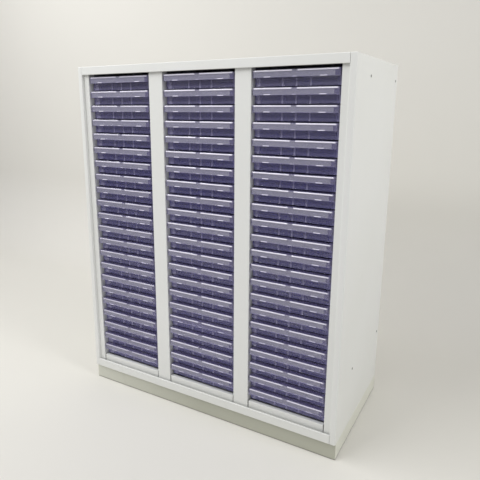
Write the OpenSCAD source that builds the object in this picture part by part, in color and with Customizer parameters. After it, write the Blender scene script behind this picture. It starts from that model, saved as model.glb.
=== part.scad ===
// Steel cabinet with three columns of shallow moulded drawers.
// X runs to the right, the fronts face -Y, Z is up, and the origin is on the floor under the middle.

/* [Drawers] */
// Rows of drawers in each column
rows = 22; // [15:1:26]
// Rows, from the top down, whose drawers are separate nodes
single_rows = 14; // [4:1:14]
// Width of a drawer front
front_w = 241; // [180:1:330]
// Height of a drawer front
front_h = 42; // [38:1:70]
// Gap between one drawer front and the next one below
row_gap = 2.7; // [2:0.1:8]
// Length of a drawer, from the face of its handle to its rear wall
drawer_l = 400; // [370:5:440]
// Travel from closed to the stop
travel = 320; // [100:5:325]
// Thickness of the moulded walls and floor
wall_t = 2; // [1.5:0.1:2.5]
// Height of the drawer's box
box_h = 35; // [26:0.5:35]
// Rise of the box's floor above the lower edge of the front
box_lift = 0.3; // [0.2:0.1:1]
// Width of the rim that runs on the rails
rim_w = 8; // [6:0.5:12]
// Thickness of that rim
rim_t = 2; // [1.5:0.1:3]

/* [Drawer handle] */
// Height of the label band that hoods the finger gap
band_h = 20.5; // [14:0.5:24]
// Thickness of the label band
band_t = 2.5; // [2:0.1:3]
// Size of the chamfer along the band's top edge
band_chamfer = 2; // [1:0.5:2]
// Depth of the finger gap behind the label band
finger_gap = 14.5; // [6:0.5:18]
// Thickness of the front below the band
face_t = 2.5; // [2:0.1:3]
// Width of the notch in the middle of the band's top edge
notch_w = 16; // [10:1:30]
// Height of that notch
notch_h = 2.5; // [1:0.1:4]
// Depth of that notch
notch_d = 1.5; // [1:0.1:1.8]
// Width of the frame left at the ends of the label pocket
pocket_end = 10; // [6:0.5:16]
// Height of the frame left above and below the label pocket
pocket_edge = 2.2; // [1.5:0.1:3]
// Depth of the label pocket
pocket_d = 0.6; // [0.4:0.1:1]
// Width of the two outer label clips
clip_w = 19; // [10:1:30]
// Width of the middle label clip
mid_clip_w = 11; // [8:1:20]
// Height of a label clip
clip_h = 1.8; // [1:0.1:2]
// Rise of the clips above the band's lower edge
clip_rise = 1.2; // [0:0.1:2]
// How far a clip and the ribs stand out
relief = 0.7; // [0.4:0.1:1.2]
// How far the front's lower edge stands out
edge_relief = 1.4; // [0.8:0.1:2]
// Width of the upright ribs on the front
rib_w = 1.6; // [1:0.1:3]

/* [Rails] */
// Room between a post and the front end of a rail
rail_start = 2; // [1:0.5:10]
// Thickness of a rail
rail_t = 2; // [1.5:0.1:3]
// Upright clearance between a rim and its rail
run_clear = 0.3; // [0.2:0.1:0.6]
// Sideways clearance between a rail and the drawer's box
rail_clear = 1.5; // [1:0.1:3]
// Length of a stop nib
nib_l = 6; // [4:0.5:10]
// Height of a stop nib
nib_h = 4; // [3:0.5:5]
// Height of a drawer's stop lug
lug_h = 2.5; // [2:0.1:3]
// Length of a drawer's stop lug
lug_l = 10; // [6:0.5:16]
// Slack left at the stop
stop_slack = 0.5; // [0.4:0.1:1]

/* [Casing] */
// Thickness of the sheet steel
sheet_t = 1; // [0.8:0.1:1.5]
// Thickness of the side panels, which are folded pans
panel_t = 17.5; // [8:0.5:24]
// Width of the pans' inner lips
panel_lip = 12; // [6:1:12]
// Depth of the returns folded behind the lip and the sill
return_d = 4; // [3:0.5:6]
// Height of the lip below the top
lip_h = 25; // [18:1:40]
// Height of the sill in front of the floor
sill_h = 28; // [16:1:34]
// Rise from the underside of the floor to the lowest row
stack_rise = 48; // [44:1:64]
// Height from the top row to the lip
head_gap = 6.6; // [6:0.1:20]
// Room between the drawers and the back panel
rear_room = 40; // [20:1:60]
// Joint left between neighbouring panels
joint_gap = 0.3; // [0.2:0.1:0.6]

/* [Posts and fillers] */
// Setback of the posts behind the casing's front edge
post_setback = 9; // [8:1:30]
// Width of a post between two columns
mid_post_w = 50.5; // [30:0.5:80]
// Width of a post at the side of the cabinet
side_post_w = 21; // [16:1:50]
// Depth of the flanges of a post
post_flange = 25; // [12:1:30]
// Gap between a drawer front and the post beside it
side_gap = 3; // [2:0.1:5]
// Height of the filler under each column
filler_h = 46; // [32:1:46]
// Setback of the filler behind the posts
filler_setback = 2; // [1:0.5:4]
// Depth of the filler's top flange
filler_flange = 12; // [6:1:20]

/* [Base and screws] */
// Height of the base
base_h = 51; // [30:1:80]
// Setback of the base behind the casing's front edge
base_setback = 7; // [4:1:30]
// Width of the base's flanges
base_flange = 30; // [20:1:40]
// Thickness of the base's sheet
base_t = 1.6; // [1.2:0.1:2.5]
// Radius of a screw head
head_r = 3.6; // [3:0.1:5]
// Height of a screw head
head_h = 0.8; // [0.6:0.1:1.5]
// Radius of a screw's shank
shank_r = 1.9; // [1.5:0.1:2.4]
// Length of a screw's shank
shank_l = 12; // [8:0.5:16]
// Clearance round a screw's shank
screw_clear = 0.1; // [0.1:0.05:0.2]
// Room left past the end of a screw's shank
screw_room = 1; // [0.5:0.5:3]
// Distance of the front screws from the casing's front edge
screw_front = 133; // [80:1:180]
// Distance of the rear screws from the back
screw_rear = 24; // [22:1:60]
// Distance of the top screws below the top
screw_top = 48; // [40:1:100]
// Height of the low screws above the floor
screw_low = 230; // [120:1:300]
// Size of the bracket behind each screw
bracket_w = 18; // [12:1:18]

/* [Hidden] */
$fn = 32;
over = 1; // how far a cut runs past the face it opens
column_names = ["left", "middle", "right"];
columns = len(column_names);
casing_color = [0.90, 0.90, 0.87];
base_color = [0.70, 0.70, 0.63];
steel_color = [0.72, 0.73, 0.74];
smoke_color = [0.42, 0.40, 0.50];
screw_color = [0.60, 0.60, 0.58];

row_pitch = front_h + row_gap;
opening_w = front_w + 2 * side_gap;
bay_pitch = opening_w + mid_post_w;
cab_w = columns * opening_w + (columns - 1) * mid_post_w + 2 * side_post_w + 2 * panel_t;
cab_d = post_setback + drawer_l + rear_room + sheet_t;
stack_z = base_h + stack_rise;
stack_top = stack_z + rows * row_pitch;
cab_h = stack_top + head_gap + lip_h;

front_y = -cab_d / 2;
back_y = cab_d / 2;
post_y = front_y + post_setback;
inner_w = cab_w - 2 * panel_t;
panel_w = inner_w - 2 * joint_gap;
floor_z = base_h + sheet_t;
ceiling_z = cab_h - sheet_t;
wall_y = post_y + post_flange;
inside_y = back_y - sheet_t;

box_w = front_w - 2 * rim_w;
face_y = post_y + band_t + finger_gap;
box_end = post_y + drawer_l;
box_z = row_gap + box_lift;
rim_z = box_z + box_h - rim_t;
rail_w = side_gap + rim_w - rail_clear;
rail_z = rim_z - run_clear - rail_t;
lug_y = box_end - lug_l;
lug_w = rim_w / 2;
nib_y = lug_y - travel - stop_slack - nib_l;
nib_w = side_gap + lug_w;
nib_z = rim_z + rim_t + run_clear;
rail_y = wall_y + rail_start;
rail_l = box_end - rail_y;
rib_places = [-0.162, 0, 0.162];
clip_places = [-0.32, 0.32];
bracket_gap = side_post_w + panel_t - 2 * sheet_t;
screw_ys = [front_y + screw_front, back_y - screw_rear];
screw_zs = [screw_low, cab_h - screw_top];

function bay_x(column) = (column - (columns - 1) / 2) * bay_pitch;
function row_z(row) = stack_z + (rows - 1 - row) * row_pitch;
function two_digits(n) = n < 10 ? str("0", n) : str(n);
function drawer_name(column, row) = str(column_names[column], "_drawer_", two_digits(row + 1));
function group_name(column) = str(column_names[column], "_lower_drawers");
function rails_name(column) = str(column_names[column], "_rails");

// A box centred on X, from y and z upwards
module block(x, w, y, d, z, h) {
    translate([x - w / 2, y, z]) cube([w, d, h]);
}

module top_panel() {
    color(casing_color) union() {
        block(0, panel_w, front_y, cab_d, ceiling_z, sheet_t);
        block(0, panel_w, front_y, sheet_t, cab_h - lip_h, lip_h);
        block(0, panel_w, front_y, return_d, cab_h - lip_h, sheet_t);
        block(0, panel_w, inside_y, sheet_t, cab_h - lip_h, lip_h);
    }
}

// side is -1 on the left and 1 on the right
module side_panel(side) {
    panel_h = cab_h - base_h;
    color(casing_color) difference() {
        block(side * (cab_w - panel_t) / 2, panel_t, front_y, cab_d, base_h, panel_h);
        block(side * (cab_w - panel_t) / 2, panel_t - 2 * sheet_t, front_y + sheet_t, cab_d - 2 * sheet_t,
              base_h + sheet_t, panel_h - 2 * sheet_t);
        block(side * (cab_w / 2 - panel_t), panel_t, front_y + panel_lip, cab_d - 2 * panel_lip,
              base_h + panel_lip, panel_h - 2 * panel_lip);
        for (y = screw_ys, z = screw_zs)
            translate([side * cab_w / 2, y, z]) rotate([0, 90, 0])
                cylinder(r = shank_r + screw_clear, h = panel_t, center = true);
    }
}

module back_panel() {
    color(casing_color)
        block(0, panel_w, inside_y, sheet_t, floor_z, cab_h - lip_h - joint_gap - floor_z);
}

module bottom_panel() {
    color(casing_color) union() {
        block(0, panel_w, front_y, cab_d, base_h, sheet_t);
        block(0, panel_w, front_y, sheet_t, base_h, sill_h);
        block(0, panel_w, front_y, return_d, base_h + sill_h - sheet_t, sheet_t);
    }
}

// A channel bent into a ring, open towards the inside
module base_frame() {
    ring_d = cab_d - base_setback;
    ring_y = front_y + base_setback;
    color(base_color) difference() {
        block(0, cab_w, ring_y, ring_d, 0, base_h);
        block(0, cab_w - 2 * base_t, ring_y + base_t, ring_d - 2 * base_t, base_t, base_h - 2 * base_t);
        block(0, cab_w - 2 * base_flange, ring_y + base_flange, ring_d - 2 * base_flange, -base_h, 3 * base_h);
    }
}

// A channel that stands between the floor and the top, open at the rear
module post(x, w) {
    color(casing_color) difference() {
        block(x, w, post_y, post_flange, floor_z, ceiling_z - floor_z);
        block(x, w - 2 * sheet_t, post_y + sheet_t, post_flange, floor_z - over,
              ceiling_z - floor_z + 2 * over);
    }
}

// The wall beside a column; the outer walls carry brackets for the side screws
module guide_wall(column, side) {
    outer = (side < 0 && column == 0) || (side > 0 && column == columns - 1);
    x = bay_x(column) + side * (opening_w + sheet_t) / 2;
    bracket_x = bay_x(column) + side * (opening_w / 2 + sheet_t + bracket_gap / 2);
    color(steel_color) difference() {
        union() {
            block(x, sheet_t, wall_y, inside_y - wall_y, floor_z, ceiling_z - floor_z);
            if (outer)
                for (y = screw_ys, z = screw_zs)
                    block(bracket_x, bracket_gap, y - bracket_w / 2, bracket_w, z - bracket_w / 2, bracket_w);
        }
        if (outer)
            for (y = screw_ys, z = screw_zs)
                translate([side * (cab_w / 2 - sheet_t), y, z]) rotate([0, 90, 0])
                    cylinder(r = shank_r + screw_clear, h = 2 * (shank_l + screw_room), center = true);
    }
}

module bottom_filler(column) {
    x = bay_x(column);
    color(casing_color) union() {
        block(x, front_w, post_y + filler_setback, sheet_t, floor_z, filler_h);
        block(x, front_w, post_y + filler_setback, filler_flange, floor_z + filler_h - sheet_t, sheet_t);
    }
}

module side_screw(side, y, z) {
    color(screw_color) translate([side * cab_w / 2, y, z]) rotate([0, side * 90, 0]) {
        cylinder(r = head_r, h = head_h);
        translate([0, 0, -shank_l]) cylinder(r = shank_r, h = shank_l);
    }
}

// The rails and stop nibs of one column, each its own strip
module rails(column) {
    color(steel_color)
        for (row = [0:rows - 1], side = [-1, 1]) {
            edge = bay_x(column) + side * opening_w / 2;
            block(edge - side * rail_w / 2, rail_w, rail_y, rail_l, row_z(row) + rail_z, rail_t);
            block(edge - side * nib_w / 2, nib_w, nib_y, nib_l, row_z(row) + nib_z, nib_h);
        }
}

module drawer_box() {
    floor_top = box_z + wall_t;
    difference() {
        block(0, box_w, face_y, box_end - face_y, box_z, box_h);
        block(0, box_w - 2 * wall_t, face_y + face_t, box_end - face_y - face_t - wall_t, floor_top, box_h);
    }
    for (side = [-1, 1]) {
        block(side * (box_w + rim_w) / 2, rim_w, face_y, box_end - face_y, rim_z, rim_t);
        block(side * (front_w - lug_w) / 2, lug_w, lug_y, lug_l, rim_z, rim_t + lug_h);
    }
}

// The lower face with its ribs and the hooded label band above it
module drawer_front() {
    top = row_pitch;
    band_z = top - band_h;
    block(0, front_w, face_y, face_t, row_gap, front_h);
    block(0, front_w, face_y - edge_relief, edge_relief + face_t, row_gap, wall_t);
    for (place = rib_places)
        block(place * front_w, rib_w, face_y - relief, relief + face_t, row_gap, front_h - band_h);
    difference() {
        translate([-front_w / 2, 0, 0]) rotate([90, 0, 90]) linear_extrude(front_w)
            polygon([[post_y, band_z], [face_y + face_t, band_z], [face_y + face_t, top],
                     [post_y + band_chamfer, top], [post_y, top - band_chamfer]]);
        block(0, front_w - 2 * band_t, post_y + band_t, finger_gap, band_z - over,
              band_h + over - band_t);
        block(0, notch_w, post_y - over, notch_d + over, top - notch_h, notch_h + over);
        block(0, front_w - 2 * pocket_end, post_y - over, pocket_d + over, band_z + pocket_edge,
              band_h - 2 * pocket_edge - notch_h);
    }
    for (place = clip_places)
        block(place * front_w, clip_w, post_y - relief, relief + band_t, band_z + clip_rise, clip_h);
    block(0, mid_clip_w, post_y - relief, relief + band_t, band_z + clip_rise, clip_h);
}

module drawer(column, row) {
    color(smoke_color) translate([bay_x(column), 0, row_z(row)]) union() {
        drawer_box();
        drawer_front();
    }
}

top_panel();
side_panel(-1);  // left_side_panel
side_panel(1);  // right_side_panel
back_panel();
bottom_panel();
base_frame();
post(-(inner_w - side_post_w) / 2, side_post_w);  // left_post
post((inner_w - side_post_w) / 2, side_post_w);  // right_post
for (column = [0:columns - 2]) post(bay_x(column) + bay_pitch / 2, mid_post_w);  // middle_posts
for (column = [0:columns - 1], side = [-1, 1]) guide_wall(column, side);  // guide_walls
for (column = [0:columns - 1]) bottom_filler(column);  // bottom_fillers
for (side = [-1, 1], y = screw_ys, z = screw_zs) side_screw(side, y, z);  // side_screws
for (column = [0:columns - 1])
    rails(column);
for (column = [0:columns - 1], row = [0:single_rows - 1])
    drawer(column, row);
for (column = [0:columns - 1])
    for (row = [single_rows:rows - 1]) drawer(column, row);
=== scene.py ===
import math
import random

import bmesh
import bpy
from mathutils import Matrix, Vector


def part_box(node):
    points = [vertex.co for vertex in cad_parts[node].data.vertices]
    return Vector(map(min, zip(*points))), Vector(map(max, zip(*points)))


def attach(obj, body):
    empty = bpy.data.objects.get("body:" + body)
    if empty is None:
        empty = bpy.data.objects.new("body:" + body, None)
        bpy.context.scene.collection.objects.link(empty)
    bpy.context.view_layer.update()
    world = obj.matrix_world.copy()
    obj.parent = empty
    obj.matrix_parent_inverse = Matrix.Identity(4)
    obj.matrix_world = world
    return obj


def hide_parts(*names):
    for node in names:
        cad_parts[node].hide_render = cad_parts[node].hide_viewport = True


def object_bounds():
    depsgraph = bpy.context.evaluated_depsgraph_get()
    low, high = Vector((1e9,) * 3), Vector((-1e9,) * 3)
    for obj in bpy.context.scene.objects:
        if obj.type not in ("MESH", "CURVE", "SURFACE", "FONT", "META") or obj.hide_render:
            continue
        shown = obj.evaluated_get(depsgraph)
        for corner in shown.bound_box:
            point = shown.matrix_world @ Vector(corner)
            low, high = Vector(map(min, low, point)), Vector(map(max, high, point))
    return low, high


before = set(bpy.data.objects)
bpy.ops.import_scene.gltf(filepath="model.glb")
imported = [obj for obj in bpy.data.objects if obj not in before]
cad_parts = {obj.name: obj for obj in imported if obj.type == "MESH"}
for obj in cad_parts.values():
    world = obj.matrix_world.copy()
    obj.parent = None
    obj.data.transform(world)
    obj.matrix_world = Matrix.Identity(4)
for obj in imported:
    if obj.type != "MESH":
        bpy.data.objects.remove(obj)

mm = 0.001
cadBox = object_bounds()


class Wire:  # an output socket that takes part in ordinary expressions
    def __init__(self, paint, socket):
        self.paint = paint
        self.socket = socket

    def __add__(self, other):
        return self.paint.maths("ADD", self, other)

    def __sub__(self, other):
        return self.paint.maths("SUBTRACT", self, other)

    def __rsub__(self, other):
        return self.paint.maths("SUBTRACT", other, self)

    def __mul__(self, other):
        return self.paint.maths("MULTIPLY", self, other)

    def __truediv__(self, other):
        return self.paint.maths("DIVIDE", self, other)

    __radd__ = __add__
    __rmul__ = __mul__


class Paint:  # one material and its nodes
    def __init__(self, name):
        self.material = bpy.data.materials.new(name)
        self.material.use_nodes = True
        self.tree = self.material.node_tree
        self.tree.nodes.clear()
        self.place = self.node("ShaderNodeTexCoord", output="Object")

    def node(self, kind, settings=None, values=None, output=0):
        made = self.tree.nodes.new(kind)
        for name, value in (settings or {}).items():
            if name == "stops":
                self.setStops(made.color_ramp, value)
            else:
                setattr(made, name, value)
        for name, value in (values or {}).items():
            if isinstance(value, Wire):
                self.tree.links.new(value.socket, made.inputs[name])
            else:
                made.inputs[name].default_value = value
        return Wire(self, made.outputs[output] if made.outputs else None)

    def setStops(self, ramp, stops):
        while len(ramp.elements) < len(stops):
            ramp.elements.new(0.5)
        for element, (position, level) in zip(ramp.elements, stops):
            element.position = position
            element.color = (level, level, level, 1)

    def maths(self, operation, a, b=0.0, c=0.0):
        return self.node("ShaderNodeMath", {"operation": operation}, {0: a, 1: b, 2: c})

    def step(self, value, edge, width):  # rises over the width around the edge, or falls if that is below 0
        return self.node("ShaderNodeMapRange", {"interpolation_type": "SMOOTHSTEP"},
                         {"Value": value, "From Min": edge - abs(width) / 2,
                          "From Max": edge + abs(width) / 2, "To Min": 0 if width > 0 else 1,
                          "To Max": 1 if width > 0 else 0})

    def between(self, value, low, high, width):
        return self.step(value, low, width) * self.step(value, high, -width)

    def noise(self, scale, detail=2.0, roughness=0.5, stretch=(1, 1, 1)):
        where = self.node("ShaderNodeMapping", values={"Vector": self.place, "Scale": stretch})
        return self.node("ShaderNodeTexNoise", values={"Vector": where, "Scale": scale, "Detail": detail,
                                                       "Roughness": roughness})

    def ramp(self, value, stops):
        return self.node("ShaderNodeValToRGB", {"stops": stops}, {"Fac": value})

    def mix(self, factor, a, b):
        return self.node("ShaderNodeMix", {"data_type": "RGBA"}, {0: factor, 6: a, 7: b}, output=2)

    def axis(self, name):
        return self.node("ShaderNodeSeparateXYZ", values={"Vector": self.place}, output=name)

    def bump(self, height, strength, distance, under=None):
        values = {"Height": height, "Strength": strength, "Distance": distance}
        if under:
            values["Normal"] = under
        return self.node("ShaderNodeBump", values=values)

    def finish(self, **values):
        named = {name.replace("_", " "): value for name, value in values.items()}
        shader = self.node("ShaderNodeBsdfPrincipled", values=named)
        self.node("ShaderNodeOutputMaterial", values={"Surface": shader})
        return self.material


def rgb(red, green, blue):  # an 8-bit sRGB colour as a linear one
    def linear(v):
        v /= 255
        return v / 12.92 if v <= 0.04045 else ((v + 0.055) / 1.055) ** 2.4
    return (linear(red), linear(green), linear(blue), 1)


casingLook = {"paint": rgb(231, 232, 229), "shade": rgb(224, 225, 219), "lowTone": rgb(200, 199, 186),
              "roughness": 0.42}
# the base's front-face shade colour is painted shade, and its floor-line colour a painted contact shadow
baseLook = {"paint": rgb(229, 230, 219), "shade": rgb(222, 223, 210), "lowTone": rgb(176, 174, 158),
            "plinthShade": rgb(181, 182, 167), "contactShadow": rgb(118, 117, 106), "roughness": 0.5}
coat = {"cloudScale": 2.2, "cloudRange": [(0.35, 0), (0.7, 1)], "cloudShare": 0.5, "cloudRough": 0.05,
        "lowToneRange": [(0.0, 1), (0.16, 0)], "lowToneShare": 0.16,
        "scuffScale": 26, "scuffStretch": (1, 1, 0.35), "scuffRange": [(0.66, 0), (0.78, 1)],
        "scuffShare": 0.22, "scuffRough": 0.08, "plinthShadeFront": (-216.8 * mm, -0.8 * mm),
        "plinthShadeTop": (50.5 * mm, -0.6 * mm), "plinthShadeShift": 0.5, "plinthShadeFade": [(0.04, 0.35), (0.5, 1)],
        "contactShadowTop": (2.8 * mm, -0.8 * mm),
        "waveScale": 9, "waves": (0.06, 4 * mm), "peelScale": 620, "peel": (0.10, 0.6 * mm), "specular": 0.45}

def casingPaint(name, look):  # powder coat, a little darker towards the floor
    paint = Paint(name)
    height = paint.axis("Z")
    cloud = paint.ramp(paint.noise(coat["cloudScale"], 3), coat["cloudRange"])
    low = paint.ramp(height, coat["lowToneRange"])
    scuffs = paint.ramp(paint.noise(coat["scuffScale"], 4, 0.65, coat["scuffStretch"]), coat["scuffRange"])
    colour = paint.mix(cloud * coat["cloudShare"], look["paint"], look["shade"])
    if "plinthShade" in look:  # painted shade: the base's front face is darkened as if shaded by the cabinet's bottom edge above it, least so at its left end
        plinthShade = paint.step(paint.axis("Y"), *coat["plinthShadeFront"]) * paint.step(height, *coat["plinthShadeTop"])
        plinthShade = plinthShade * paint.ramp(paint.axis("X") + coat["plinthShadeShift"], coat["plinthShadeFade"])
        colour = paint.mix(plinthShade, colour, look["plinthShade"])
    # darker towards the floor, with scuffs there
    colour = paint.mix(low * coat["lowToneShare"] + scuffs * low * coat["scuffShare"], colour, look["lowTone"])
    if "contactShadow" in look:  # painted contact shadow: a dark line along the floor
        colour = paint.mix(paint.step(height, *coat["contactShadowTop"]), colour, look["contactShadow"])
    normal = paint.bump(paint.noise(coat["waveScale"], 1), *coat["waves"])
    normal = paint.bump(paint.noise(coat["peelScale"], 2, 0.45), *coat["peel"], normal)
    rough = cloud * coat["cloudRough"] + scuffs * coat["scuffRough"] + look["roughness"]
    return paint.finish(Base_Color=colour, Roughness=rough, Normal=normal,
                        Specular_IOR_Level=coat["specular"])

zincLook = {"cellScale": 130.0, "cellRange": [(0.2, 0), (0.8, 1)], "cellShare": 0.5,
            "streakScale": 40, "streakStretch": (1, 0.15, 1), "streakShare": 0.3,
            "dull": rgb(176, 179, 182), "bright": rgb(206, 208, 210), "roughness": 0.32, "streakRough": 0.18,
            "bump": (0.08, 0.4 * mm)}

def zincSteel():
    paint = Paint("zincSteel")
    look = zincLook
    cells = paint.node("ShaderNodeTexVoronoi", values={"Vector": paint.place, "Scale": look["cellScale"]},
                       output="Color")
    spangle = paint.ramp(cells, look["cellRange"])
    streak = paint.noise(look["streakScale"], 3, 0.6, look["streakStretch"])
    shine = spangle * look["cellShare"] + streak * look["streakShare"]
    return paint.finish(Base_Color=paint.mix(shine, look["dull"], look["bright"]), Metallic=1.0,
                        Roughness=streak * look["streakRough"] + look["roughness"],
                        Normal=paint.bump(spangle, *look["bump"]))

screwSteelLook = {"brushScale": 700, "brushStretch": (1, 1, 0.2), "dull": rgb(118, 118, 114),
                  "bright": rgb(158, 158, 152), "roughness": 0.28, "brushRough": 0.2, "bump": (0.1, 0.2 * mm)}

def screwSteel():
    paint = Paint("screwSteel")
    look = screwSteelLook
    brush = paint.noise(look["brushScale"], 2, 0.5, look["brushStretch"])
    return paint.finish(Base_Color=paint.mix(brush, look["dull"], look["bright"]), Metallic=1.0,
                        Roughness=brush * look["brushRough"] + look["roughness"],
                        Normal=paint.bump(brush, *look["bump"]))

# the highlight tone, the pale tone, the face tones, the tub tone and the hood-top tone are painted
# highlights, painted light and painted shade; deep and thin are the plastic's own tones
plasticLook = {"deep": (0.20, 0.182, 0.35, 1), "thin": (0.26, 0.243, 0.42, 1), "paintedHighlight": (0.92, 0.90, 1.0, 1),
               "face": (0.10, 0.085, 0.27, 1), "faceLow": (0.085, 0.076, 0.43, 1),
               "paintedLightTone": (0.62, 0.59, 0.80, 1), "tub": (0.44, 0.41, 0.66, 1), "shadedHoodTop": (0.13, 0.11, 0.27, 1),
               "flowScale": 14, "flowStretch": (1, 0.4, 1), "hazeScale": 55,
               "hazeRange": [(0.35, 0), (0.75, 1)], "roughness": 0.12, "hazeRough": 0.08, "ior": 1.85,
               "bump": (0.05, 1 * mm), "cover": 0.30, "paintedHighlightCover": 0.58, "paintedLightCover": 0.4, "hazeCover": 0.04}
# Zones of the drawer fronts in mm, where highlights, light and shade are painted: their edges, and last the
# width over which they fade
frontZone = {"rowLevel": 99.0, "pitch": 44.7, "rowCut": 1.3, "bay": 297.5, "leftBay": (-150, -20),
             "lowRows": (450, -700), "lowFaces": (950, -350), "hoodBack": (-198.5, -1),
             "bandBack": (-213, -1), "bandFoot": (24.2, -0.3), "shadedHoodTop": (43.9, 0.8),
             "rim": (39.6, 43.4, 1.2), "rimEnd": (116, -6), "notch": (7.5, -4), "hem": (25.0, 27.4, 0.8),
             "clipRise": (25.4, 27.2, 0.3), "clips": (67.4, 86.8, 3), "middleClip": (5.7, -2),
             "ribs": (-39, 0, 39), "ribSpread": 2.5, "foot": (11, -9), "innerWall": (-112, 2.5),
             "innerWallEnd": (-101.5, -4), "innerWallDrift": 0.014, "sideWall": (108, 2),
             "sideWallDepth": (-198, -176, 8)}
# How strongly each zone shows, alone and towards the foot of the cabinet (Low); most of them are painted
# highlights, painted light and painted shade
frontShare = {"notch": 0.75, "rimLow": 0.12, "rimLeft": 0.16, "middleClip": 0.55, "clipsLow": 0.5, "hem": 0.1,
              "hemLow": 0.35, "foot": 0.5, "footLow": 0.3, "ribs": 0.48, "innerWall": 0.4, "footPale": 0.5,
              "sideWall": 0.6, "faceFlow": 0.2, "face": 0.85, "flow": 0.6, "haze": 0.2}

def smokePlastic():  # painted highlights on each front's top rim, clips and lower band edge; painted light on its ribs and foot, on the tub wall seen through it and on the tub behind it; painted shade on the face under the hood and on the hood's top. Where highlights and light are painted, the plastic is also denser
    paint = Paint("smokePlastic")
    look, zone, share = plasticLook, frontZone, frontShare
    x, depth, z = (paint.axis(name) / mm for name in "XYZ")
    flow = paint.noise(look["flowScale"], 2, 0.5, look["flowStretch"])
    haze = paint.ramp(paint.noise(look["hazeScale"], 3, 0.6), look["hazeRange"])
    up = paint.maths("WRAP", z - zone["rowLevel"] - zone["rowCut"], zone["pitch"]) + zone["rowCut"]
    across = paint.maths("WRAP", x + zone["bay"] / 2, zone["bay"]) - zone["bay"] / 2
    side = paint.maths("ABSOLUTE", across)
    front = paint.step(depth, *zone["hoodBack"])
    edge = paint.step(depth, *zone["bandBack"])
    below = paint.step(up, *zone["bandFoot"]) * front
    low = paint.step(z, *zone["lowRows"])
    leftBay = paint.step(x, *zone["leftBay"])
    # painted highlight along each band's top edge, fainter at the notch, towards the lower rows and in the
    # left bay
    rim = paint.between(up, *zone["rim"]) * edge * paint.step(side, *zone["rimEnd"])
    rim = rim * (1 - paint.step(side, *zone["notch"]) * share["notch"])
    rim = rim * (1 - low * share["rimLow"] - leftBay * share["rimLeft"])
    # painted highlights on the clips, fainter towards the lower rows
    clips = paint.between(side, *zone["clips"]) + paint.step(side, *zone["middleClip"]) * share["middleClip"]
    clips = clips * paint.between(up, *zone["clipRise"]) * edge * (1 - low * share["clipsLow"])
    # painted highlight along the band's lower edge, stronger towards the lower rows
    hem = paint.between(up, *zone["hem"]) * edge * (low * share["hemLow"] + share["hem"])
    # painted highlights on the ribs
    spread = zone["ribSpread"]
    ribs = sum(paint.between(across, place - spread, place + spread, spread) for place in zone["ribs"])
    ribs = ribs * below
    # painted light: the lit inner wall of the tub as seen through the face, painted on the face itself and
    # drifting across the columns
    innerWall = paint.step(across, *zone["innerWall"]) * below
    innerWall = innerWall * paint.step(across + x * zone["innerWallDrift"], *zone["innerWallEnd"])
    # painted light on the foot of the face, below the hood's shade, stronger towards the lower rows
    foot = paint.step(up, *zone["foot"]) * front * (low * share["footLow"] + share["foot"])
    # painted light on the tub's side walls just behind the front
    sideWall = paint.step(side, *zone["sideWall"]) * paint.between(depth, *zone["sideWallDepth"])
    paintedHighlight = paint.maths("MINIMUM", rim + clips, 1)
    # these painted highlights and painted light share one pale tone
    paintedLight = ribs * share["ribs"] + innerWall * share["innerWall"] + foot * share["footPale"] + hem
    paintedLight = paint.maths("MINIMUM", paintedLight + sideWall * (1 - front) * share["sideWall"], 1)
    colour = paint.mix(flow * share["flow"] + haze * share["haze"], look["deep"], look["thin"])
    # painted shade: the face under the hood is darker, and bluer below the top rows
    face = paint.mix(paint.step(z, *zone["lowFaces"]), look["face"], look["faceLow"])
    colour = paint.mix(below * (flow * share["faceFlow"] + share["face"]), colour, face)
    # painted light: the tub behind the front has a paler tone, as if lit through the plastic
    colour = paint.mix(front, look["tub"], colour)
    # painted shade on the hood's top, under the drawer above
    colour = paint.mix(paint.step(up, *zone["shadedHoodTop"]), colour, look["shadedHoodTop"])
    colour = paint.mix(paintedLight, colour, look["paintedLightTone"])
    colour = paint.mix(paintedHighlight, colour, look["paintedHighlight"])
    cover = paintedHighlight * look["paintedHighlightCover"] + paintedLight * look["paintedLightCover"] + haze * look["hazeCover"] + look["cover"]
    return paint.finish(Base_Color=colour, Roughness=haze * look["hazeRough"] + look["roughness"],
                        Normal=paint.bump(flow, *look["bump"]), IOR=look["ior"], Alpha=cover)

cardLook = {"fibreScale": 900, "fibreStretch": (0.3, 1, 1), "toneScale": 7, "dark": rgb(196, 197, 196),
            "light": rgb(212, 213, 210), "roughness": 0.85, "bump": (0.12, 0.2 * mm)}

def cardPaper():
    paint = Paint("cardPaper")
    look = cardLook
    fibre = paint.noise(look["fibreScale"], 3, 0.6, look["fibreStretch"])
    colour = paint.mix(paint.noise(look["toneScale"], 1), look["dark"], look["light"])
    return paint.finish(Base_Color=colour, Roughness=look["roughness"],
                        Normal=paint.bump(fibre, *look["bump"]))

casing = casingPaint("casingPaint", casingLook)
base = casingPaint("basePaint", baseLook)
zinc = zincSteel()
steel = screwSteel()
smoke = smokePlastic()
card = cardPaper()
print("finishes made")


smooth = {"angle": 50, "steps": 3}

def block(shape, low, high):  # a box between two corners
    low, high = Vector(low), Vector(high)
    verts = bmesh.ops.create_cube(shape, size=1)["verts"]
    bmesh.ops.scale(shape, vec=high - low, verts=verts)
    bmesh.ops.translate(shape, vec=(low + high) / 2, verts=verts)

def rounded(shape, edges, radius, steps=smooth["steps"]):
    bmesh.ops.bevel(shape, geom=list(edges), offset=radius, offset_type="OFFSET", segments=steps, profile=0.5,
                    affect="EDGES", material=-1, clamp_overlap=True)

def sharpEdges(shape, angle=smooth["angle"]):
    return [e for e in shape.edges if len(e.link_faces) == 2 and e.calc_face_angle() > math.radians(angle)]

def running(edges, direction):
    return [e for e in edges if abs((e.verts[1].co - e.verts[0].co).normalized().dot(direction)) > 0.99]

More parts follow.
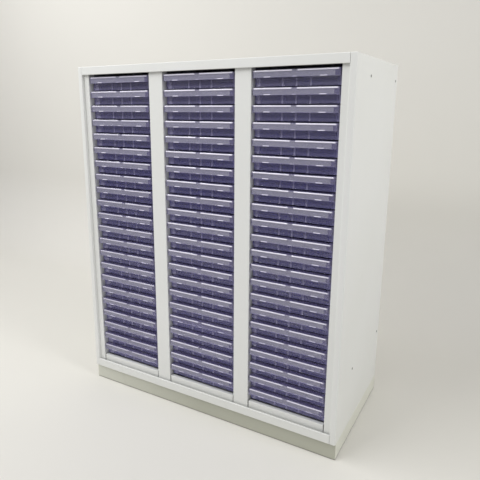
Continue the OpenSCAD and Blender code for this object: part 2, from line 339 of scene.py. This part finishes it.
def newVerts(grown):
    return [v for v in grown if isinstance(v, bmesh.types.BMVert)]

def piece(name, shape, body, finish, stands=()):
    mesh = bpy.data.meshes.new(name)
    shape.to_mesh(mesh)
    shape.free()
    mesh.shade_smooth()
    mesh.set_sharp_from_angle(angle=math.radians(smooth["angle"]))
    mesh.materials.append(finish)
    made = bpy.data.objects.new(name, mesh)
    bpy.context.scene.collection.objects.link(made)
    made.modifiers.new("weightedNormal", "WEIGHTED_NORMAL").keep_sharp = True
    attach(made, body)
    if stands:
        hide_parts(*stands)

def faceOutwards(shape):  # faces that look away from the middle, so that a shell's thickness grows inwards
    bmesh.ops.recalc_face_normals(shape, faces=shape.faces[:])
    middle = sum((v.co for v in shape.verts), Vector()) / len(shape.verts)
    widest = max(shape.faces, key=lambda f: f.calc_area())
    if (widest.calc_center_median() - middle).dot(widest.normal) < 0:
        bmesh.ops.reverse_faces(shape, faces=shape.faces[:])

def bentSheet(outline, run, thickness, bend):  # outer skin of a folded sheet, thickened inwards
    shape = bmesh.new()
    row = [shape.verts.new(p) for p in outline]
    edges = [shape.edges.new(pair) for pair in zip(row, row[1:])]
    grown = bmesh.ops.extrude_edge_only(shape, edges=edges)["geom"]
    bmesh.ops.translate(shape, vec=run, verts=newVerts(grown))
    inner = [e for e in shape.edges if len(e.link_faces) == 2]
    rounded(shape, running(inner, Vector(run).normalized()), bend, 4)
    faceOutwards(shape)
    bmesh.ops.solidify(shape, geom=shape.faces[:], thickness=thickness)
    bmesh.ops.recalc_face_normals(shape, faces=shape.faces[:])
    return shape

def added(shape, source, matrix):  # a moved copy of another bmesh
    mesh = bpy.data.meshes.new("copy")
    source.to_mesh(mesh)
    mesh.transform(matrix)
    shape.from_mesh(mesh)
    bpy.data.meshes.remove(mesh)

def combined(shape, others, operation):  # one closed shape from several
    holders = []
    for source in [shape, *others]:
        mesh = bpy.data.meshes.new("mould")
        source.to_mesh(mesh)
        source.free()
        holders.append(bpy.data.objects.new("mould", mesh))
        bpy.context.scene.collection.objects.link(holders[-1])
    for other in holders[1:]:
        cut = holders[0].modifiers.new("cut", "BOOLEAN")
        cut.operation = operation
        cut.solver = "EXACT"
        cut.object = other
    bpy.context.view_layer.update()
    ready = holders[0].evaluated_get(bpy.context.evaluated_depsgraph_get())
    result = bmesh.new()
    result.from_mesh(ready.data)
    for holder in holders:
        mesh = holder.data
        bpy.data.objects.remove(holder)
        bpy.data.meshes.remove(mesh)
    bmesh.ops.remove_doubles(result, verts=result.verts[:], dist=1e-6)
    return result

print("helpers ready")


sheet = {"thickness": 1.0 * mm, "bend": 1.6 * mm, "hem": 4.0 * mm, "edge": 0.3 * mm}

def foldedPanel(name, outline, run, node):
    shape = bentSheet(outline, run, sheet["thickness"], sheet["bend"])
    piece(name, shape, "cabinet", casing, [node])

low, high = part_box("top_panel")
foldedPanel("topPanel", [(low.x, low.y + sheet["hem"], low.z), (low.x, low.y, low.z), (low.x, low.y, high.z),
                         (low.x, high.y, high.z), (low.x, high.y, low.z)],
            (high.x - low.x, 0, 0), "top_panel")

low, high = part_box("bottom_panel")
foldedPanel("bottomPanel", [(low.x, low.y + sheet["hem"], high.z), (low.x, low.y, high.z),
                            (low.x, low.y, low.z), (low.x, high.y, low.z)],
            (high.x - low.x, 0, 0), "bottom_panel")

sidePanel = {"lip": 12 * mm, "thickness": 1.0 * mm, "round": 2.0 * mm, "frontRound": 4.5 * mm}

def pan(node, side):  # a folded side panel, open towards the drawers
    low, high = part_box(node)
    centre = (low + high) / 2
    shape = bmesh.new()
    block(shape, low, high)
    inner = [f for f in shape.faces if f.normal.x * side < -0.9]
    bmesh.ops.delete(shape, geom=inner, context="FACES_ONLY")
    rim = [e for e in shape.edges if len(e.link_faces) == 1]
    for v in newVerts(bmesh.ops.extrude_edge_only(shape, edges=rim)["geom"]):
        v.co.y -= math.copysign(sidePanel["lip"], v.co.y - centre.y)
        v.co.z -= math.copysign(sidePanel["lip"], v.co.z - centre.z)
    upright = running(sharpEdges(shape), Vector((0, 0, 1)))
    outerFront = [e for e in upright
                  if all((v.co.x - centre.x) * side > 0 and v.co.y < centre.y for v in e.verts)]
    rounded(shape, outerFront, sidePanel["frontRound"], 5)
    rounded(shape, sharpEdges(shape), sidePanel["round"], 4)
    faceOutwards(shape)
    bmesh.ops.solidify(shape, geom=shape.faces[:], thickness=sidePanel["thickness"])
    return shape

for side, name in ((-1, "left"), (1, "right")):
    node = name + "_side_panel"
    piece(name + "SidePanel", pan(node, side), "cabinet", casing, [node])

low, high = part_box("back_panel")
shape = bmesh.new()
block(shape, low, high)
rounded(shape, sharpEdges(shape), sheet["edge"], 2)
piece("backPanel", shape, "cabinet", casing, ["back_panel"])

def channel(name, low, high, node):  # an upright post, open at the rear
    outline = [(high.x, high.y, low.z), (high.x, low.y, low.z), (low.x, low.y, low.z), (low.x, high.y, low.z)]
    foldedPanel(name, outline, (0, 0, high.z - low.z), node)

for name in ("left", "right"):
    channel(name + "Post", *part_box(name + "_post"), name + "_post")
low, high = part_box("middle_posts")
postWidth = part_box("right_rails")[0].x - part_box("middle_rails")[1].x
channel("innerPostLeft", low, Vector((low.x + postWidth, high.y, high.z)), "middle_posts")
channel("innerPostRight", Vector((high.x - postWidth, low.y, low.z)), high, "middle_posts")

low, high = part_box("bottom_fillers")
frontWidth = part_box("left_drawer_01")[1].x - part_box("left_drawer_01")[0].x
for column, start in (("left", low.x), ("middle", -frontWidth / 2), ("right", high.x - frontWidth)):
    foldedPanel(column + "Filler", [(start, high.y, high.z), (start, low.y, high.z), (start, low.y, low.z)],
                (frontWidth, 0, 0), "bottom_fillers")

baseRing = {"flange": 30 * mm, "thickness": 1.6 * mm, "round": 2.2 * mm}

def basePlinth():
    low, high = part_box("base_frame")
    centre = (low + high) / 2
    shape = bmesh.new()
    block(shape, low, high)
    flat = [f for f in shape.faces if abs(f.normal.z) > 0.9]
    bmesh.ops.delete(shape, geom=flat, context="FACES_ONLY")
    for level in (low.z, high.z):
        rim = [e for e in shape.edges
               if len(e.link_faces) == 1 and all(math.isclose(v.co.z, level, abs_tol=1e-6) for v in e.verts)]
        for v in newVerts(bmesh.ops.extrude_edge_only(shape, edges=rim)["geom"]):
            v.co.x -= math.copysign(baseRing["flange"], v.co.x - centre.x)
            v.co.y -= math.copysign(baseRing["flange"], v.co.y - centre.y)
    rounded(shape, sharpEdges(shape), baseRing["round"])
    bmesh.ops.recalc_face_normals(shape, faces=shape.faces[:])
    bmesh.ops.solidify(shape, geom=shape.faces[:], thickness=baseRing["thickness"])
    piece("basePlinth", shape, "cabinet", base, ["base_frame"])

basePlinth()
for node in ("guide_walls", "left_rails", "middle_rails", "right_rails"):
    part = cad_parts[node]
    part.data.materials.clear()
    part.data.materials.append(zinc)

screw = {"radius": 3.6 * mm, "head": 0.8 * mm, "dome": 0.4 * mm, "arm": 3.6 * mm, "slot": 0.8 * mm,
         "deep": 0.5 * mm, "clear": 0.2 * mm, "front": 133 * mm, "rear": 24 * mm, "top": 48 * mm,
         "low": 230 * mm, "turn": (900, 500)}

def screwHead():
    head = bmesh.new()
    made = bmesh.ops.create_cone(head, cap_ends=True, segments=24, radius1=screw["radius"],
                                 radius2=screw["radius"], depth=screw["head"])
    bmesh.ops.translate(head, vec=(0, 0, screw["head"] / 2), verts=made["verts"])
    rounded(head, [e for e in sharpEdges(head) if all(v.co.z > 0 for v in e.verts)], screw["dome"])
    cuts = []
    for wide, tall in ((screw["arm"], screw["slot"]), (screw["slot"], screw["arm"])):
        cuts.append(bmesh.new())
        block(cuts[-1], (-wide / 2, -tall / 2, screw["head"] - screw["deep"]),
              (wide / 2, tall / 2, screw["head"] + screw["clear"]))
    return combined(head, cuts, "DIFFERENCE")

def sideScrews():  # each head has stopped at another angle
    head = screwHead()
    shape = bmesh.new()
    low, high = cadBox
    byDepth, byHeight = screw["turn"]
    for side in (-1, 1):
        for y in (low.y + screw["front"], high.y - screw["rear"]):
            for z in (high.z - screw["top"], screw["low"]):
                place = Matrix.Translation((side * (high.x - screw["head"]), y, z))
                outwards = Matrix.Rotation(side * math.pi / 2, 4, "Y")
                turn = Matrix.Rotation(y * byDepth + z * byHeight, 4, "Z")
                added(shape, head, place @ outwards @ turn)
    head.free()
    piece("sideScrews", shape, "cabinet", steel, ["side_screws"])

sideScrews()
print("casing made")


drawer = {"width": 241 * mm, "boxWidth": 225 * mm, "rise": 2.7 * mm, "height": 42 * mm, "wall": 2 * mm,
          "boxLift": 0.3 * mm, "boxHeight": 35 * mm, "corner": 4 * mm, "rim": 8 * mm, "rimThickness": 2 * mm,
          "lugLength": 10 * mm, "lugHeight": 2.5 * mm, "edge": 0.4 * mm, "inset": 0.3 * mm,
          "rimInset": 0.2 * mm, "overlap": 1 * mm}
band = {"height": 20.5 * mm, "thickness": 2.5 * mm, "depth": 17 * mm, "round": 3.4 * mm, "endRound": 4.2 * mm,
        "notch": 16 * mm, "notchHeight": 2.5 * mm, "notchDepth": 1.5 * mm, "notchEdge": 0.4 * mm,
        "pocketEnd": 10 * mm, "pocketEdge": 2.2 * mm, "pocketDepth": 0.6 * mm, "pocketRound": 0.3 * mm,
        "relief": 0.7 * mm, "clips": ((-0.32, 19 * mm), (0, 11 * mm), (0.32, 19 * mm)),
        "clipHeight": 1.8 * mm, "clipRise": 1.2 * mm, "clipEdge": 0.35 * mm}
face = {"thickness": 2.5 * mm, "ribs": (-0.162, 0, 0.162), "ribWidth": 1.6 * mm, "ribEdge": 0.3 * mm,
        "lip": 1.4 * mm, "edge": 0.5 * mm}
label = {"start": 3.6 * mm, "width": 223 * mm, "rise": 1.2 * mm, "inset": 0.8 * mm, "thickness": 0.3 * mm,
         "gap": 0.1 * mm, "edge": 0.06 * mm, "wander": (1.0 * mm, 0.35 * mm), "bare": ("middle", 18),
         "seed": 7}
rows = {"single": 14, "all": 22}
half = drawer["width"] / 2
bandTop = drawer["rise"] + drawer["height"]
bandLow = bandTop - band["height"]

def softBlock(low, high, radius, steps=2):
    shape = bmesh.new()
    block(shape, low, high)
    rounded(shape, sharpEdges(shape), radius, steps)
    return shape

def openBox(low, high, gone, radius, thickness, front=None):  # a moulded shell without its face `gone`
    shape = bmesh.new()
    block(shape, low, high)
    lost = max(shape.faces, key=lambda f: f.normal.dot(Vector(gone)))
    bmesh.ops.delete(shape, geom=[lost], context="FACES")
    if front:
        def onFrontEdge(v):
            return math.isclose(v.co.y, low[1], abs_tol=1e-6) and math.isclose(v.co.z, high[2], abs_tol=1e-6)
        rounded(shape, [e for e in sharpEdges(shape) if all(onFrontEdge(v) for v in e.verts)], front, 5)
    rounded(shape, sharpEdges(shape, 80), radius)
    bmesh.ops.recalc_face_normals(shape, faces=shape.faces[:])
    bmesh.ops.solidify(shape, geom=shape.faces[:], thickness=thickness)
    return shape

def frontParts(frontY):  # the hooded band, and the face below it with its lip and ribs
    faceY = frontY + band["depth"]
    backY = faceY + face["thickness"]
    low = drawer["rise"]
    yield openBox((-half, frontY, bandLow), (half, backY, bandTop), (0, 0, -1), band["endRound"],
                  band["thickness"], band["round"])
    yield softBlock((-half, faceY, low), (half, backY, bandTop - drawer["overlap"]), face["edge"])
    yield softBlock((-half, faceY - face["lip"], low),
                    (half, faceY + face["thickness"] / 2, low + drawer["wall"]), face["edge"])
    for place in face["ribs"]:
        x = place * drawer["width"]
        yield softBlock((x - face["ribWidth"] / 2, faceY - band["relief"], low),
                        (x + face["ribWidth"] / 2, faceY + face["thickness"] / 2, bandLow), face["ribEdge"])

def bandClips(frontY):
    start = bandLow + band["clipRise"]
    for place, width in band["clips"]:
        x = place * drawer["width"]
        yield softBlock((x - width / 2, frontY - band["relief"], start),
                        (x + width / 2, frontY + band["thickness"] / 2, start + band["clipHeight"]),
                        band["clipEdge"])

def runners(faceY, endY, boxTop):  # the rims that slide on the rails, and the lugs that stop the drawer
    rim = (drawer["boxWidth"] / 2 - drawer["overlap"], faceY + drawer["rimInset"], boxTop)
    lug = (half - drawer["rim"] / 2, endY - drawer["lugLength"], boxTop + drawer["lugHeight"])
    for side in (-1, 1):
        for inner, start, top in (rim, lug):
            near, far = sorted((side * inner, side * half))
            yield softBlock((near, start, boxTop - drawer["rimThickness"]), (far, endY, top), drawer["edge"])

def drawerShape(frontY, endY):
    boxHalf = drawer["boxWidth"] / 2
    faceY = frontY + band["depth"]
    boxLow = drawer["rise"] + drawer["boxLift"]
    boxTop = boxLow + drawer["boxHeight"]
    tub = openBox((-boxHalf, faceY + drawer["inset"], boxLow), (boxHalf, endY, boxTop), (0, 0, 1),
                  drawer["corner"], drawer["wall"])
    parts = [*frontParts(frontY), *runners(faceY, endY, boxTop), *bandClips(frontY)]
    shape = combined(tub, parts, "UNION")
    clear = frontY - drawer["overlap"]
    pocketHalf = half - band["pocketEnd"]
    pocketTop = bandTop - band["pocketEdge"] - band["notchHeight"]
    pocket = softBlock((-pocketHalf, clear, bandLow + band["pocketEdge"]),
                       (pocketHalf, frontY + band["pocketDepth"], pocketTop), band["pocketRound"])
    notch = softBlock((-band["notch"] / 2, clear, bandTop - band["notchHeight"]),
                      (band["notch"] / 2, frontY + band["notchDepth"], bandTop + drawer["overlap"]),
                      band["notchEdge"])
    return combined(shape, [pocket, notch], "DIFFERENCE")

def labelShape(frontY):
    left = label["start"] - half
    start = frontY + band["thickness"] + label["gap"]
    top = bandTop - band["thickness"] - label["inset"]
    return softBlock((left, start, bandLow + label["rise"]),
                     (left + label["width"], start + label["thickness"], top), label["edge"], 1)

def placedCopy(name, source, move, body, finish, stands=()):
    shape = bmesh.new()
    added(shape, source, Matrix.Translation(move))
    piece(name, shape, body, finish, stands)

def drawerPlaces(column):  # node, row and height of each drawer; the lower rows share a node
    for row in range(1, rows["single"] + 1):
        node = column + "_drawer_%02d" % row
        yield node, row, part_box(node)[0].z
    group = column + "_lower_drawers"
    low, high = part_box(group)
    pitch = (high.z - low.z - drawer["height"]) / (rows["all"] - rows["single"] - 1)
    for row in range(rows["single"] + 1, rows["all"] + 1):
        yield group, row, low.z + (rows["all"] - row) * pitch

def drawers():
    low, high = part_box("left_drawer_01")
    frontY = low.y + band["relief"]
    moulded = drawerShape(frontY, high.y)
    paper = labelShape(frontY)
    print("drawer shape:", len(moulded.faces), "faces")
    wander = random.Random(label["seed"])
    for column in ("left", "middle", "right"):
        low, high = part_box(column + "_lower_drawers")
        middle = (low.x + high.x) / 2
        for node, row, z in drawerPlaces(column):
            tag = column.capitalize() + "%02d" % row
            move = Vector((middle, 0, z - drawer["rise"]))
            placedCopy("drawer" + tag, moulded, move, node + "_body", smoke, [node])
            if (column, row) != label["bare"]:
                aside, lift = (wander.uniform(-1, 1) * most for most in label["wander"])
                placedCopy("label" + tag, paper, move + Vector((aside, 0, lift)), node + "_body", card)
    moulded.free()
    paper.free()

drawers()
print("drawers made")


room = {"wall": 1.1, "bend": 0.5, "reach": 9.0, "paint": rgb(224, 222, 215), "shade": rgb(216, 214, 206),
        "cloudScale": 1.4, "cloudShare": 0.3, "roughness": 0.9, "specular": 0.2}

def backdrop():  # floor and wall in one sweep
    paint = Paint("backdropPaint")
    cloud = paint.noise(room["cloudScale"], 2)
    colour = paint.mix(cloud * room["cloudShare"], room["paint"], room["shade"])
    finish = paint.finish(Base_Color=colour, Roughness=room["roughness"], Specular_IOR_Level=room["specular"])
    shape = bmesh.new()
    reach, wall = room["reach"], room["wall"]
    row = [shape.verts.new(p) for p in ((-reach, -reach, 0), (-reach, wall, 0), (-reach, wall, reach))]
    edges = [shape.edges.new(pair) for pair in zip(row, row[1:])]
    grown = bmesh.ops.extrude_edge_only(shape, edges=edges)["geom"]
    bmesh.ops.translate(shape, vec=(2 * reach, 0, 0), verts=newVerts(grown))
    rounded(shape, [e for e in shape.edges if len(e.link_faces) == 2], room["bend"], 12)
    bmesh.ops.recalc_face_normals(shape, faces=shape.faces[:])
    mesh = bpy.data.meshes.new("backdrop")
    shape.to_mesh(mesh)
    shape.free()
    mesh.shade_smooth()
    mesh.materials.append(finish)
    made = bpy.data.objects.new("backdrop", mesh)
    bpy.context.scene.collection.objects.link(made)

backdrop()

scene = bpy.context.scene
lens = {"place": (0.8060, -1.4325, 0.9830), "yaw": 30.29, "pitch": -13.17, "roll": 0.04, "focal": 36.99,
        "shift": (0.0298, -0.0331), "sensor": 36}
camera = bpy.data.objects.new("camera", bpy.data.cameras.new("camera"))
scene.collection.objects.link(camera)
camera.matrix_world = (Matrix.Translation(lens["place"]) @ Matrix.Rotation(math.radians(lens["yaw"]), 4, "Z")
                       @ Matrix.Rotation(math.radians(90 + lens["pitch"]), 4, "X")
                       @ Matrix.Rotation(math.radians(lens["roll"]), 4, "Z"))
camera.data.sensor_width = lens["sensor"]
camera.data.lens = lens["focal"]
camera.data.shift_x, camera.data.shift_y = lens["shift"]
scene.camera = camera

light = {"world": 0.53, "tint": rgb(250, 250, 255)}
lamps = {"ceiling": {"place": (-1.6, -1.4, 2.7), "target": (0, 0, 0.9), "size": (3.4, 0.5), "spread": 180,
                     "power": 63},
         "fill": {"place": (2.5, -0.35, 2.3), "target": (0.46, 0, 0.9), "size": (1.2, 1.2), "spread": 80,
                  "power": 7.2}}
world = bpy.data.worlds.new("softRoom")
world.use_nodes = True
sky = world.node_tree.nodes["Background"].inputs
sky["Color"].default_value = light["tint"]
sky["Strength"].default_value = light["world"]
scene.world = world
for name, lamp in lamps.items():
    area = bpy.data.lights.new(name, "AREA")
    area.spread = math.radians(lamp["spread"])
    area.shape = "RECTANGLE"
    area.size, area.size_y = lamp["size"]
    area.energy = lamp["power"]
    holder = bpy.data.objects.new(name, area)
    aim = Vector(lamp["target"]) - Vector(lamp["place"])
    holder.location = lamp["place"]
    holder.rotation_euler = aim.to_track_quat("-Z", "Y").to_euler()
    scene.collection.objects.link(holder)
scene.view_settings.view_transform = "Standard"
print("room, camera and lamps set")
